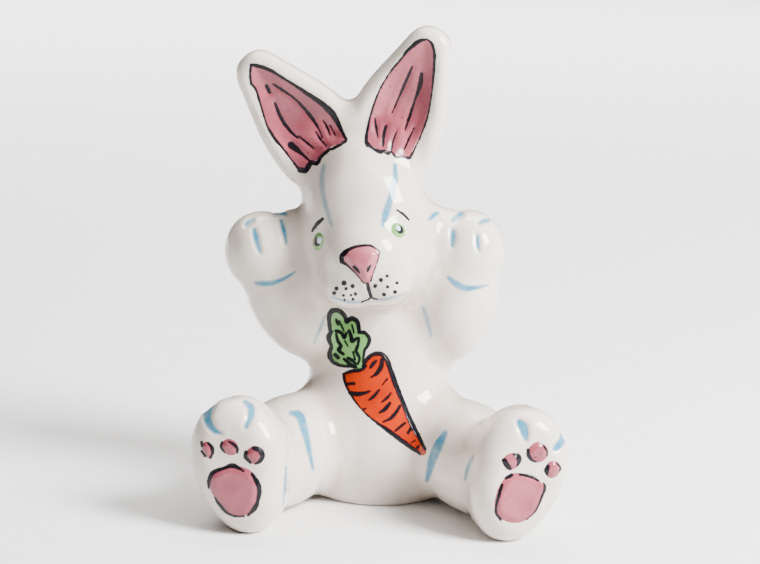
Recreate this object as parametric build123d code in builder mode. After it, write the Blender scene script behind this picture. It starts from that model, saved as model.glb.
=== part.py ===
"""Sitting rabbit figurine in glazed ceramic, made of cast pieces that are luted together with slip.

Millimetres, +Z up. The rabbit faces -Y, and left and right are its own, so its left side is +X.
The origin is the middle of the drain hole's mouth, in the plane that the figurine stands on.
"""

import os
from math import sqrt

from build123d import *

# Castings and joints
WALL = 4.0  # wall of the two hollow castings, torso and head
FLOOR = 4.5  # floor of the torso
JOINT = 0.15  # slip between two pieces that are luted together
SPARE = 6.0  # clay below the base that is pared away from the torso and the legs
DRAIN_DIAMETER = 12.0
NECK_VENT_DIAMETER = 14.0

# Torso, a pear turned about the Z axis
BASE_WIDTH = 47.0
BASE_ROUND = 2.0
HIP_WIDTH = 54.0
HIP_HEIGHT = 14.0
WAIST_WIDTH = 43.0
WAIST_HEIGHT = 40.0
SHOULDER_WIDTH = 36.0
SHOULDER_HEIGHT = 54.0
TORSO_HEIGHT = 68.0

# Head, an egg with a muzzle, set on the neck and tipped to the rabbit's right
HEAD_WIDTH = 42.0
HEAD_RISE = 36.0  # from the widest level up
HEAD_DROP = 21.0  # from the widest level down
HEAD_FORWARD = 4.0
NECK_SINK = 6.4  # how far the head is hollowed to sit down over the neck
HEAD_TILT = 11.0
HEAD_TURN = 7.0
HEAD_NOD = 3.0
BRIDGE_WIDTH = 27.0
BRIDGE_DEPTH = 24.0
BRIDGE_REACH = 7.0  # how far the bridge of the nose stands out of the head
BRIDGE_LOW = 1.5
CHEEK_WIDTH = 18.0
CHEEK_DEPTH = 22.0
CHEEK_REACH = 6.0
CHEEK_LOW = 7.5
CHEEK_APART = 11.0

# Ears, flat leaf shapes with a pocket in the face that holds the lining
EAR_WIDTH = 30.0
EAR_THICKNESS = 9.5
EAR_ROUND = 3.6  # rounding of the edges all round
EAR_RISE = 37.5  # from the widest level up to the tip
EAR_DROP = 12.0  # from the widest level down, inside the head
EAR_TIP_WIDTH = 16.0
EAR_TIP_LENGTH = 8.0  # from the tip down to the level where the ear is as wide as that
EAR_APART = 21.5
EAR_LIFT = -4.0  # from the top of the head to the widest level of an ear
EAR_LEAN = 32.0
EAR_BACK = 2.0
EAR_RIM = 5.0
EAR_POCKET = 1.8  # depth of the pocket below the front of the ear
LINING_DROP = 8.0
LINING = 0.8

# Arms, raised beside the head
SHOULDER_OUT = 2.0  # from the side of the shoulder to the root of an arm
SHOULDER_FORWARD = 3.0
SHOULDER_DROP = 4.0
ARM_WIDTH = 28.0
ARM_LENGTH = 42.0
ARM_CENTRE = 14.0
PAW_WIDTH = 25.0
PAW_HEIGHT = 27.0
LEFT_PAW_REACH = 30.0
RIGHT_PAW_REACH = 32.5
FINGER_DIAMETER = 17.0  # ball of the innermost finger, which leans on the head
FINGER_IN = 8.0  # from the middle of the paw towards the head
FINGER_UP = 5.5
LEFT_ARM_LEAN = 12.0
RIGHT_ARM_LEAN = 34.0

# Legs, stretched forwards with the soles to the front
LEG_INSET = 5.0  # from the side of the hip to the root of a leg
LEG_BACK = 8.0
LEFT_LEG_SPLAY = 30.5
RIGHT_LEG_SPLAY = 28.5
THIGH_WIDTH = 33.0
THIGH_FORE = 30.0
THIGH_AFT = 26.0
THIGH_CENTRE = 14.0
THIGH_HEIGHT = 17.0
THIGH_SLOPE = 8.0
LEG_REACH = 41.0
FOOT_WIDTH = 29.0
FOOT_THICKNESS = 20.0
FOOT_ROUND = 7.5  # rounding round the sole and the back of the foot
FOOT_RISE = 17.5
FOOT_DROP = 24.0
FOOT_LEAN = 16.0
FOOT_TURN = 12.0
FOOT_RECLINE = 5.0
FOOT_HEIGHT = 22.5

# Tail, a ball on the back of the hip
TAIL_DIAMETER = 18.0
TAIL_SINK = 4.0
TAIL_HEIGHT = 14.0

# Nose, a rounded triangle on the muzzle
NOSE_WIDTH = 12.0
NOSE_HEIGHT = 12.0
NOSE_ROUND = 1.8
NOSE_RELIEF = 1.2
NOSE_UP = 3.5  # top edge above the widest level of the head

# Eyes, low buttons beside the muzzle
EYE_DIAMETER = 4.6
EYE_RELIEF = 1.2
EYE_APART = 25.0
EYE_UP = 5.5

# Pads on the soles
PAD_RELIEF = 0.9
SOLE_PAD_WIDTH = 15.0
SOLE_PAD_HEIGHT = 15.5
SOLE_PAD_LOW = 7.0
TOE_PAD_WIDTH = 5.2
TOE_PAD_HEIGHT = 5.2
TOE_PAD_UP = 3.5
TOE_PAD_RISE = 1.0  # the middle toe above its neighbours
TOE_PAD_APART = 7.0

# Carrot in thick enamel on the belly
ENAMEL = 0.6
CARROT_X = -6.5
CARROT_TOP = 45.5
CARROT_LEAN = 37.0
CARROT_WIDTH = 14.5
CARROT_LENGTH = 32.0
CARROT_SHOULDER = 4.0  # from the crown down to the widest level
CARROT_TIP = 2.4  # width across the rounded tip
CARROT_GAP = 0.5  # between the root and its leaves
LEAF_LEAN = 25.0
LEAF_HEIGHT = 15.0
LEAF_SPREAD = 7.5
LEAF_LOBE = 5.4
LEAF_LOW_LOBES = 5.5  # height of the lower pair of side lobes above the root
LEAF_HIGH_LOBES = 10.0
LEAF_STEM = 2.6

# Length of a curve's handle that makes a quarter of an ellipse, as a share of its half axis
ARC_HANDLE = 0.5523


def quarter_ellipse(across, along, centre=(0, 0)):
    """A quarter of an ellipse, from its end on the first axis to its end on the second."""
    x, y = centre
    Bezier(
        (x + across, y),
        (x + across, y + ARC_HANDLE * along),
        (x + ARC_HANDLE * across, y + along),
        (x, y + along),
    )


def egg(width, rise, drop):
    """A round egg, widest at z = 0, with its ends at z = rise and z = -drop."""
    with BuildPart(mode=Mode.PRIVATE) as form:
        with BuildSketch(Plane.XZ):
            with BuildLine():
                quarter_ellipse(width / 2, -drop)
                quarter_ellipse(width / 2, rise)
                Line((0, rise), (0, -drop))
            make_face()
        revolve(axis=Axis.Z)
    return form.part


def torso(grow=0.0):
    """The pear of the torso, larger by a margin, with the spare below its base."""
    lowest = (BASE_WIDTH / 2 + grow - SPARE / 3, -SPARE)
    crown = (0, TORSO_HEIGHT + grow)
    with BuildPart(mode=Mode.PRIVATE) as form:
        with BuildSketch(Plane.XZ):
            with BuildLine():
                Spline(
                    lowest,
                    (BASE_WIDTH / 2 + grow, 0),
                    (HIP_WIDTH / 2 + grow, HIP_HEIGHT),
                    (WAIST_WIDTH / 2 + grow, WAIST_HEIGHT),
                    (SHOULDER_WIDTH / 2 + grow, SHOULDER_HEIGHT),
                    crown,
                    tangents=((0.5, 1), (-1, 0)),
                )
                Polyline(crown, (0, -SPARE), lowest)
            make_face()
        revolve(axis=Axis.Z)
    return form.part


def head(grow=0.0):
    """The head's egg with the bridge and the two cheeks of the muzzle, in the head's own frame."""
    skull = egg(HEAD_WIDTH + 2 * grow, HEAD_RISE + grow, HEAD_DROP + grow)
    bridge = egg(BRIDGE_WIDTH + 2 * grow, BRIDGE_DEPTH / 2 + grow, BRIDGE_DEPTH / 2 + grow)
    cheek = egg(CHEEK_WIDTH + 2 * grow, CHEEK_DEPTH / 2 + grow, CHEEK_DEPTH / 2 + grow)
    bridge_y = BRIDGE_DEPTH / 2 - HEAD_WIDTH / 2 - BRIDGE_REACH
    cheek_y = CHEEK_DEPTH / 2 - HEAD_WIDTH / 2 - CHEEK_REACH
    with BuildPart(mode=Mode.PRIVATE) as form:
        add(skull)
        with Locations(Location((0, bridge_y, -BRIDGE_LOW), (90, 0, 0))):
            add(bridge)
        for side in (1, -1):
            with Locations(Location((side * CHEEK_APART / 2, cheek_y, -CHEEK_LOW), (90, 0, 0))):
                add(cheek)
    return form.part


def foot(grow=0.0):
    """The foot, a pebble with an egg's outline, larger by a margin, with its sole to -Y."""
    thickness = FOOT_THICKNESS + 2 * grow
    with BuildPart(mode=Mode.PRIVATE) as form:
        with BuildSketch(Plane.XZ.offset(-thickness / 2)):
            with BuildLine():
                quarter_ellipse(FOOT_WIDTH / 2 + grow, FOOT_RISE + grow)
                quarter_ellipse(FOOT_WIDTH / 2 + grow, -FOOT_DROP - grow)
                mirror(about=Plane.YZ)
            make_face()
        extrude(amount=thickness)
        fillet(form.faces().filter_by(Axis.Y).edges(), FOOT_ROUND + grow)
    return form.part


def ear_edge(inset, drop):
    """The outline of one side of an ear, from its tip to its lowest point, inside its rim."""
    with BuildLine(mode=Mode.PRIVATE) as edge:
        Spline(
            (0, EAR_RISE - inset),
            (EAR_TIP_WIDTH / 2 - inset / 2, EAR_RISE - EAR_TIP_LENGTH - inset / 2),
            (EAR_WIDTH / 2 - inset, 0),
            tangents=((1, 0), (0, -1)),
        )
        quarter_ellipse(EAR_WIDTH / 2 - inset, -drop)
    return edge.line


def ear_plate(inset, drop, back, front):
    """A flat leaf inside an ear's outline, between two levels in front of the ear's middle plane."""
    edge = ear_edge(inset, drop)
    with BuildPart(mode=Mode.PRIVATE) as form:
        with BuildSketch(Plane.XZ.offset(back)):
            with BuildLine():
                add(edge)
                mirror(about=Plane.YZ)
            make_face()
        extrude(amount=front - back)
    return form.part


HEAD_FRAME = Location(
    (0, -HEAD_FORWARD, TORSO_HEIGHT - NECK_SINK), (HEAD_NOD, -HEAD_TILT, -HEAD_TURN)
) * Location((0, 0, HEAD_DROP))

os.makedirs("parts", exist_ok=True)

torso_seat = torso(JOINT)
head_seat = head(JOINT).moved(HEAD_FRAME)

# Torso
torso_hollow = split(torso(-WALL), Plane.XY.offset(FLOOR), keep=Keep.TOP)
with BuildPart() as body_shell:
    add(torso())
    split(bisect_by=Plane.XY, keep=Keep.TOP)
    fillet(body_shell.edges().sort_by(Axis.Z)[0], BASE_ROUND)
    add(torso_hollow, mode=Mode.SUBTRACT)
    Hole(DRAIN_DIAMETER / 2, FLOOR)
    with Locations((0, 0, TORSO_HEIGHT)):
        Cylinder(NECK_VENT_DIAMETER / 2, 4 * WALL, mode=Mode.SUBTRACT)
body_shell.part.label = "body_shell"
export_step(body_shell.part, "parts/body_shell.step")

# Head
skull_hollow = egg(HEAD_WIDTH - 2 * WALL, HEAD_RISE - WALL, HEAD_DROP - WALL).moved(HEAD_FRAME)
head_hollow = skull_hollow - torso(JOINT + WALL)
with BuildPart() as head_shell:
    with Locations(HEAD_FRAME):
        add(head())
    add(torso_seat, mode=Mode.SUBTRACT)
    add(head_hollow, mode=Mode.SUBTRACT)
    with Locations((0, 0, TORSO_HEIGHT)):
        Cylinder(NECK_VENT_DIAMETER / 2, 4 * WALL, mode=Mode.SUBTRACT)
head_shell.part.label = "head_shell"
export_step(head_shell.part, "parts/head_shell.step")

# Ears and their linings
ear_front = EAR_THICKNESS / 2
pocket_floor = ear_front - EAR_POCKET
leaf = ear_plate(0, EAR_DROP, -ear_front, ear_front)
pocket = ear_plate(EAR_RIM, LINING_DROP, pocket_floor, EAR_THICKNESS)
layer = ear_plate(
    EAR_RIM + JOINT, LINING_DROP - JOINT, pocket_floor + JOINT, pocket_floor + JOINT + LINING
)
for name, side in (("left", 1), ("right", -1)):
    ear_frame = HEAD_FRAME * Location(
        (side * EAR_APART / 2, EAR_BACK, HEAD_RISE + EAR_LIFT), (0, side * EAR_LEAN, 0)
    )
    middle = HEAD_FRAME * Location((side * JOINT / 2, 0, 0), (0, side * 90, 0))

    with BuildPart() as ear:
        with Locations(ear_frame):
            add(leaf)
        fillet(ear.faces().filter_by(GeomType.PLANE).edges(), EAR_ROUND)
        with Locations(ear_frame):
            add(pocket, mode=Mode.SUBTRACT)
        add(head_seat, mode=Mode.SUBTRACT)
        split(bisect_by=Plane(middle), keep=Keep.TOP)
    ear.part.label = f"{name}_ear"
    export_step(ear.part, f"parts/{name}_ear.step")

    with BuildPart() as lining:
        with Locations(ear_frame):
            add(layer)
        add(head_seat, mode=Mode.SUBTRACT)
    lining.part.label = f"{name}_ear_lining"
    export_step(lining.part, f"parts/{name}_ear_lining.step")

# Arms
upper_arm = egg(ARM_WIDTH, ARM_LENGTH / 2, ARM_LENGTH / 2)
arm_margin = egg(ARM_WIDTH + 2 * JOINT, ARM_LENGTH / 2 + JOINT, ARM_LENGTH / 2 + JOINT)
arm_seats = []
paw = egg(PAW_WIDTH, PAW_HEIGHT / 2, PAW_HEIGHT / 2)
for name, side, lean, reach in (
    ("left", 1, LEFT_ARM_LEAN, LEFT_PAW_REACH),
    ("right", -1, RIGHT_ARM_LEAN, RIGHT_PAW_REACH),
):
    arm_root = Location(
        (side * (SHOULDER_WIDTH / 2 + SHOULDER_OUT), -SHOULDER_FORWARD, SHOULDER_HEIGHT - SHOULDER_DROP),
        (0, side * lean, 0),
    )
    arm_frame = arm_root * Location((0, 0, ARM_CENTRE))
    paw_frame = arm_root * Location((0, 0, reach))
    arm_seats.append(arm_margin.moved(arm_frame))
    with BuildPart() as arm:
        with Locations(arm_frame):
            add(upper_arm)
        with Locations(paw_frame):
            add(paw)
        with Locations(Location(paw_frame.position + Vector(-side * FINGER_IN, 0, FINGER_UP))):
            Sphere(FINGER_DIAMETER / 2)
        add(torso_seat, mode=Mode.SUBTRACT)
        add(head_seat, mode=Mode.SUBTRACT)
    arm.part.label = f"{name}_arm"
    export_step(arm.part, f"parts/{name}_arm.step")

# Legs and the pads on their soles
thigh = egg(THIGH_WIDTH, THIGH_FORE, THIGH_AFT)
thigh_margin = egg(THIGH_WIDTH + 2 * JOINT, THIGH_FORE + JOINT, THIGH_AFT + JOINT)
thigh_seats = []
foot_form = foot()
foot_seat = foot(JOINT)
pad_front = FOOT_THICKNESS / 2 + PAD_RELIEF
for name, side, splay in (("left", 1, LEFT_LEG_SPLAY), ("right", -1, RIGHT_LEG_SPLAY)):
    hip = Location((side * (HIP_WIDTH / 2 - LEG_INSET), -LEG_BACK, 0), (0, 0, side * splay))
    thigh_frame = hip * Location((0, -THIGH_CENTRE, THIGH_HEIGHT), (90 + THIGH_SLOPE, 0, 0))
    thigh_seats.append(thigh_margin.moved(thigh_frame))
    foot_frame = hip * Location(
        (0, -LEG_REACH, FOOT_HEIGHT), (0, 0, side * (FOOT_TURN - splay))
    ) * Location((0, 0, 0), (-FOOT_RECLINE, side * FOOT_LEAN, 0))
    sole = Plane(foot_frame * Plane.XZ.location)

    with BuildPart() as leg:
        with Locations(thigh_frame):
            add(thigh)
        with Locations(foot_frame):
            add(foot_form)
        add(torso_seat, mode=Mode.SUBTRACT)
        split(bisect_by=Plane.XY, keep=Keep.TOP)
    leg.part.label = f"{name}_leg"
    export_step(leg.part, f"parts/{name}_leg.step")

    with BuildPart() as sole_pad:
        with BuildSketch(sole):
            with Locations((0, -SOLE_PAD_LOW)):
                Ellipse(SOLE_PAD_WIDTH / 2, SOLE_PAD_HEIGHT / 2)
        extrude(amount=pad_front)
        with Locations(foot_frame):
            add(foot_seat, mode=Mode.SUBTRACT)
    sole_pad.part.label = f"{name}_sole_pad"
    export_step(sole_pad.part, f"parts/{name}_sole_pad.step")

    with BuildPart() as toe_pads:
        with BuildSketch(sole):
            with Locations(
                (-TOE_PAD_APART, TOE_PAD_UP), (0, TOE_PAD_UP + TOE_PAD_RISE), (TOE_PAD_APART, TOE_PAD_UP)
            ):
                Ellipse(TOE_PAD_WIDTH / 2, TOE_PAD_HEIGHT / 2)
        extrude(amount=pad_front)
        with Locations(foot_frame):
            add(foot_seat, mode=Mode.SUBTRACT)
    toe_pads.part.label = f"{name}_toe_pads"
    export_step(toe_pads.part, f"parts/{name}_toe_pads.step")

# Tail
with BuildPart() as tail:
    with Locations((0, HIP_WIDTH / 2 + TAIL_DIAMETER / 2 - TAIL_SINK, TAIL_HEIGHT)):
        Sphere(TAIL_DIAMETER / 2)
    add(torso_seat, mode=Mode.SUBTRACT)
tail.part.label = "tail"
export_step(tail.part, "parts/tail.step")

# Nose
nose_relief = head(NOSE_RELIEF).moved(HEAD_FRAME)
with BuildPart() as nose:
    with BuildSketch(Plane(HEAD_FRAME * Plane.XZ.location)) as nose_outline:
        with BuildLine():
            Polyline(
                (NOSE_WIDTH / 2, NOSE_UP),
                (0, NOSE_UP - NOSE_HEIGHT),
                (-NOSE_WIDTH / 2, NOSE_UP),
                close=True,
            )
        make_face()
        fillet(nose_outline.vertices(), NOSE_ROUND)
    extrude(amount=HEAD_WIDTH)
    add(nose_relief, mode=Mode.INTERSECT)
    add(head_seat, mode=Mode.SUBTRACT)
nose.part.label = "nose"
export_step(nose.part, "parts/nose.step")

# Eyes
eye_button = egg(EYE_DIAMETER, EYE_RELIEF, EYE_RELIEF)
eye_level_radius = HEAD_WIDTH / 2 * sqrt(1 - (EYE_UP / HEAD_RISE) ** 2)
eye_y = -sqrt(eye_level_radius**2 - (EYE_APART / 2) ** 2)
for name, side in (("left", 1), ("right", -1)):
    outward = Plane(origin=(side * EYE_APART / 2, eye_y, EYE_UP), z_dir=(side * EYE_APART / 2, eye_y, 0))
    with BuildPart() as eye:
        with Locations(HEAD_FRAME * outward.location):
            add(eye_button)
        add(head_seat, mode=Mode.SUBTRACT)
    eye.part.label = f"{name}_eye"
    export_step(eye.part, f"parts/{name}_eye.step")

# Carrot
enamel_skin = torso(ENAMEL)
carrot_crown = (CARROT_X, 0, CARROT_TOP)
with BuildPart() as carrot_root:
    with BuildSketch(Plane(Location(carrot_crown, (0, -CARROT_LEAN, 0)) * Plane.XZ.location)):
        with BuildLine():
            for side in (1, -1):
                shoulder = (side * CARROT_WIDTH / 2, -CARROT_SHOULDER)
                tip_edge = (side * CARROT_TIP / 2, CARROT_TIP - CARROT_LENGTH)
                quarter_ellipse(side * CARROT_WIDTH / 2, CARROT_SHOULDER, (0, -CARROT_SHOULDER))
                Bezier(shoulder, (side * CARROT_WIDTH / 2, -CARROT_LENGTH / 2), tip_edge)
                quarter_ellipse(side * CARROT_TIP / 2, -CARROT_TIP, (0, CARROT_TIP - CARROT_LENGTH))
        make_face()
    extrude(amount=HIP_WIDTH)
    add(enamel_skin, mode=Mode.INTERSECT)
    add(torso_seat, mode=Mode.SUBTRACT)
    for thigh_seat in thigh_seats:
        add(thigh_seat, mode=Mode.SUBTRACT)
carrot_root.part.label = "carrot_root"
export_step(carrot_root.part, "parts/carrot_root.step")

with BuildPart() as carrot_leaves:
    with BuildSketch(Plane(Location(carrot_crown, (0, -LEAF_LEAN, 0)) * Plane.XZ.location)):
        with Locations((0, CARROT_GAP + LEAF_HEIGHT / 2)):
            Ellipse(LEAF_STEM, LEAF_HEIGHT / 2)
        for level in (LEAF_LOW_LOBES, LEAF_HIGH_LOBES):
            with Locations((LEAF_SPREAD / 2, level), (-LEAF_SPREAD / 2, level)):
                Circle(LEAF_LOBE / 2)
    extrude(amount=HIP_WIDTH)
    add(enamel_skin, mode=Mode.INTERSECT)
    add(torso_seat, mode=Mode.SUBTRACT)
    add(head_seat, mode=Mode.SUBTRACT)
    for arm_seat in arm_seats:
        add(arm_seat, mode=Mode.SUBTRACT)
carrot_leaves.part.label = "carrot_leaves"
export_step(carrot_leaves.part, "parts/carrot_leaves.step")
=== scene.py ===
"""The looks of a sitting rabbit figurine in hand-painted, glazed ceramic.

Metres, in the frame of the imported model. One skin of glaze is drawn over the nine castings, so that their
slip joints flow into soft fillets, and it is then parted into one piece for each casting. The nose, eyes,
pads, ear linings and carrot are low reliefs on that skin. Brush strokes are lists of points with a width,
(x, y, width), in pixels of a 760 x 564 picture, and they are thrown on the skin from the picture's camera.
"""

from math import cos, pi, radians, sin

import bmesh
import bpy
import numpy as np
from mathutils import Matrix, Vector
from mathutils.bvhtree import BVHTree
from mathutils.geometry import delaunay_2d_cdt


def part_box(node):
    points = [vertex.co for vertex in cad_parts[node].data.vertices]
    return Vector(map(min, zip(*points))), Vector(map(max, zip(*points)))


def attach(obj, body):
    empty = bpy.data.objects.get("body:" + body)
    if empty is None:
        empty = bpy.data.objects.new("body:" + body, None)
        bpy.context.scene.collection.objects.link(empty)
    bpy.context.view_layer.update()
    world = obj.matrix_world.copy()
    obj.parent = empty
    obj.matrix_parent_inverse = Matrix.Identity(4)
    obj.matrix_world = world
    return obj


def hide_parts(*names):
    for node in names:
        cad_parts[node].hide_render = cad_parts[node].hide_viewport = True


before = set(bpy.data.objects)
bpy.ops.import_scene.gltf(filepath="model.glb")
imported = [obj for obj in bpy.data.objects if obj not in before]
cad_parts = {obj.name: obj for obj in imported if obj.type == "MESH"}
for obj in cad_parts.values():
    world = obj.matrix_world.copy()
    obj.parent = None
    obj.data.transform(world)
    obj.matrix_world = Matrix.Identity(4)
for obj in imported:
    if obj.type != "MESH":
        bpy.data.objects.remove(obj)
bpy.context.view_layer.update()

# Camera: the picture in pixels, lens and sensor in millimetres, the rest in metres
IMAGE_WIDTH = 760
IMAGE_HEIGHT = 564
LENS = 85.0
SENSOR = 36.0
CAMERA_DISTANCE = 0.580
CAMERA_ELEVATION = radians(12.0)
PICTURE_TURN = radians(2.0)  # clockwise
CAMERA_TARGET = Vector((-0.001, 0.0, 0.068))

# Skin: metres, where nothing else is said
CASTINGS = (
    "body_shell", "head_shell", "left_ear", "right_ear", "left_arm", "right_arm", "left_leg", "right_leg",
    "tail",
)
HOLLOW_CASTINGS = ("body_shell", "head_shell")
WELD = 1e-6  # points closer than this are one
HOLLOW_SPAN = 0.011  # a face that sees its own casting this far away is inside it
FLOOR_LEVEL = 0.0043  # the drain hole's wall, below this level, stays
SLIP = 0.00018  # the skin's thickness over the castings
CLOSING = 0.0009  # the castings grow by this much and shrink again, so that narrow crevices close
NORMAL_STEPS = 4  # rounds of averaging of the normals that the skin shrinks along
VOXEL = 0.0009  # the size of the skin's first faces
FILL_STEPS = 200  # rounds of filling the concave joints
FILL_RATE = 0.5
FILL_NORMALS = 5  # rounds of filling between new normals
SMOOTH_STEPS = 14  # rounds of smoothing, each in and out again
SMOOTH_IN = 0.5
SMOOTH_OUT = -0.52
POOL_SHADE_DEPTH = 0.0022  # glaze gathered this deep gets the full warm, darker tint of the painted shade in the crevices
PIT_STEPS = 110  # rounds of averaging that level the pits
PIT_RATE = 0.5
PIT_DEPTH = (0.0003, 0.0011)  # pits between these depths go from open to full
EASED_STEPS = 70  # rounds of averaging at the foot of each ear
EASED_RATE = 0.5
EASED_ZONES = ((314, 158, 30), (390, 150, 30))  # (x, y, radius) of the foot of each ear, in pixels
GROOVE_DEPTH = 0.0005  # between fingers and between toes
GROOVE_SPREAD = 4.0  # pixels outside a stroke where its groove begins
GROOVE_FLOOR = 1.0  # pixels inside a stroke where its groove is deepest
GROOVE_FACING = 0.2  # how far a normal may point along the camera's look where a groove is pressed
MOUTH_DEPTH = 0.0003
MOUTH_SPREAD = 2.5
FOLD_DEPTH = 0.0003  # the pleats of the ear linings
FOLD_SPREAD = 5.0
LINING_HOLLOW = 0.0009  # how far the linings lie below the rims of the ears
LINING_SLOPE = (-1.5, 13.0)  # pixels inside a lining's outline where its hollow begins and is deepest
LINING_FOOT = (10, 48)  # pixels from the foot of an ear where the hollow begins and is deepest
DRAIN_KEEP = 0.0085  # radius round the drain hole where no glaze gathers
DRAIN_DEPTH = 0.006  # and the height up to which that holds
NEAR_CASTING = 0.006  # a face further than this from a casting's box isn't of that casting

# Paint
BRUSH_SPREAD = 0.35  # pixels that the ink runs out on each side of a stroke
DOT_SPREAD = 0.2  # and so much more round a dot
FAR = 6.0  # pixels, the furthest that a stroke's distance is kept
TINY = 1e-9  # keeps a line of no length from dividing by zero
CURVE_STEPS = 6  # points on a stroke from one given point to the next
WASH_EDGE = (-1.5, 0.9)  # pixels inside a stroke where the blue begins and is full
FINE_ZONE = 2.5  # pixels round an ink stroke where the skin is divided again
FINE_ROUND = 0.6  # how far the divided faces bulge to a smooth surface
HIDDEN_BY = 0.0015  # a point this far behind what the camera sees isn't painted

LEFT_BROW = ((397, 210, 1.3), (403, 214, 2.1), (409, 220, 1.4))
RIGHT_BROW = ((322.5, 219, 2.8), (318, 223, 3.6), (314.5, 227.5, 2.6), (312, 231.5, 1.2))
MOUTH = (
    ((367.5, 284, 2.8), (369, 290, 3.2), (371, 296.5, 2.8), (373, 298, 1.8), (377, 299.5, 1)),
    ((371, 297, 2), (368, 299.5, 1.4), (362, 302, 1)),
)
WHISKER_DOTS = (
    (344, 283, 4.6), (352.5, 286, 3.8), (336.5, 288.5, 3.4), (346, 288.5, 2.6), (334, 293, 3.2),
    (343.5, 295.5, 2), (351, 295, 2.2), (355.5, 294, 2.8), (344.5, 300, 1.8), (353, 299.2, 2),
    (381, 280, 3.6), (375, 286, 3.4), (387, 276, 2.4), (387.5, 287, 2.6), (397, 283, 2.6), (384, 294.5, 3.4),
    (395, 292, 3.2),
)
RIGHT_FACE_WASH = ((324, 166, 3.5), (322, 176, 4.5), (323, 194, 4.5), (329, 218, 3.5), (332, 226, 1.5))
LEFT_FACE_WASH = ((395, 165, 3), (395, 180, 5.5), (391, 197, 5.5), (386, 213, 7), (383, 225, 3))
SMILE_WASH = (
    ((332, 297, 1), (343, 300.5, 2.2), (352, 302, 2.4), (362, 302, 1.6)),
    ((374, 299.5, 1.8), (386, 299, 2), (398, 296, 1.4), (406, 293, 0.8)),
)
FINGER_WASH = (
    ((254, 230, 3.5), (256, 238, 5), (258, 246, 4), (260, 252, 2)),
    ((281, 221, 3), (284, 231, 4), (286, 243, 2)),
    ((246, 225, 2.5), (249, 222, 4), (252, 220, 3)),
    ((275, 213, 3), (282, 213, 4), (286, 214, 2.5)),
    ((453, 231, 4), (453, 238, 5), (452, 246, 2)),
    ((477, 236, 3), (477.5, 243, 3.5), (478.5, 250, 1.5)),
    ((430, 219, 3), (434, 215, 4.5), (438, 213, 3)),
    ((453, 220, 3.5), (458, 216.5, 5.5), (462, 213.5, 3)),
    ((480, 223, 3), (484, 221, 4.5), (488, 220.5, 3)),
)
WRIST_WASH = (
    ((256, 283, 3), (262, 283.5, 5), (272, 283, 4.5), (284, 278.5, 3.2), (295, 272, 1.4)),
    ((448, 277, 2), (455, 283, 6), (465, 288, 6), (477, 287.5, 3.6), (488, 285, 1.4)),
)
TOE_WASH = (
    ((214, 403, 3), (208, 412, 7), (208, 421, 7), (214, 430, 5.5), (220, 433, 2.5)),
    ((245, 402, 4), (251, 408, 7), (250, 418, 6), (246, 427, 3.5)),
    ((519, 422, 5), (523, 427, 9), (525, 434, 7), (526, 440, 3)),
    ((562, 432, 3), (562, 440, 6), (557, 447, 7), (555, 449, 4)),
)
LEG_WASH = (
    ((291, 413, 4), (299, 415, 8), (303, 425, 8), (308, 445, 5), (313, 469, 2.5)),
    ((286, 467, 1.2), (285, 488, 2), (283, 506, 1)),
    ((445, 433, 5), (438, 446, 9), (432, 461, 8), (427, 480, 4)),
    ((473, 456, 1.5), (468, 467, 3), (465, 480, 1.2)),
)
CHEST_WASH = (
    ((325, 316, 1.5), (320, 329, 3), (314, 343, 1.5)),
    ((423, 307, 2), (427, 320, 4.5), (431, 336, 2)),
)

# Ear linings: outlines, the ink round them, and the inked pleats
RIGHT_LINING = (
    (251, 64), (262, 66), (280, 74), (300, 87), (318, 100), (331, 109), (338, 120), (343, 130), (347, 139.5),
    (339, 144), (330, 148), (322, 157), (314, 162), (309, 166), (301, 169), (297, 170),
    (288, 157), (276, 142), (267, 126), (260, 102), (252, 84),
)
LEFT_LINING = (
    (427, 39), (433, 45), (435, 58), (434, 75), (430, 105), (423, 130), (413, 150), (409, 158),
    (402, 156.5), (396, 157.5), (391, 152), (384, 153), (375, 148), (367, 144), (366.5, 135), (369, 120),
    (376, 99), (386, 79), (400, 60), (414, 46), (421, 40),
)
LINING_RIM_INK = (
    ((251, 65, 2), (257, 65.5, 3.6), (270, 70, 3.2), (283, 78, 2), (296, 86, 2.6), (308, 94, 3.8)),
    ((308, 94, 3.8), (320, 102, 5), (331, 112, 6.2), (337, 121, 5), (342, 131, 3.2), (346, 139, 2.6)),
    ((251, 64.5, 2.4), (250, 74, 1.8), (251, 84, 2.4)),
    ((251, 84, 2.2), (256, 90, 2), (260, 103, 1.6), (265, 120, 1.2), (268, 128, 1.8), (275, 139, 2.8),
     (284, 150, 1.6), (294, 163, 1.4), (298, 168, 2)),
    ((300, 170, 5.4), (306, 170, 5.4), (311, 163, 4.2), (317, 163, 4), (321, 157, 3), (329, 150, 2.6),
     (332, 149, 2.8), (340, 145, 2.6), (346, 141, 2.4)),
    ((402, 58, 1.8), (408, 50, 2.6), (415, 44, 3.6), (420, 40.5, 3.4), (425, 39.5, 2)),
    ((427, 39, 1.2), (432, 44, 2.2), (434.5, 54, 2.6), (434, 70, 2), (431.5, 95, 1.2), (427, 119, 1.6),
     (419, 140, 1), (411, 156, 1.8)),
    ((402, 58, 2), (391, 71, 1.4), (380, 89, 1.2), (373, 107, 1.8), (368, 126, 2), (366, 140, 3.4),
     (368, 145, 4.4)),
    ((368, 145, 3), (374, 149, 2.6), (380, 152, 3.6), (384, 151, 2.6), (388, 153.5, 3.2), (391, 152, 1.2),
     (396, 157, 2), (402, 157, 1.4), (408, 158, 2.8), (411, 157.5, 1.6)),
)
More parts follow.
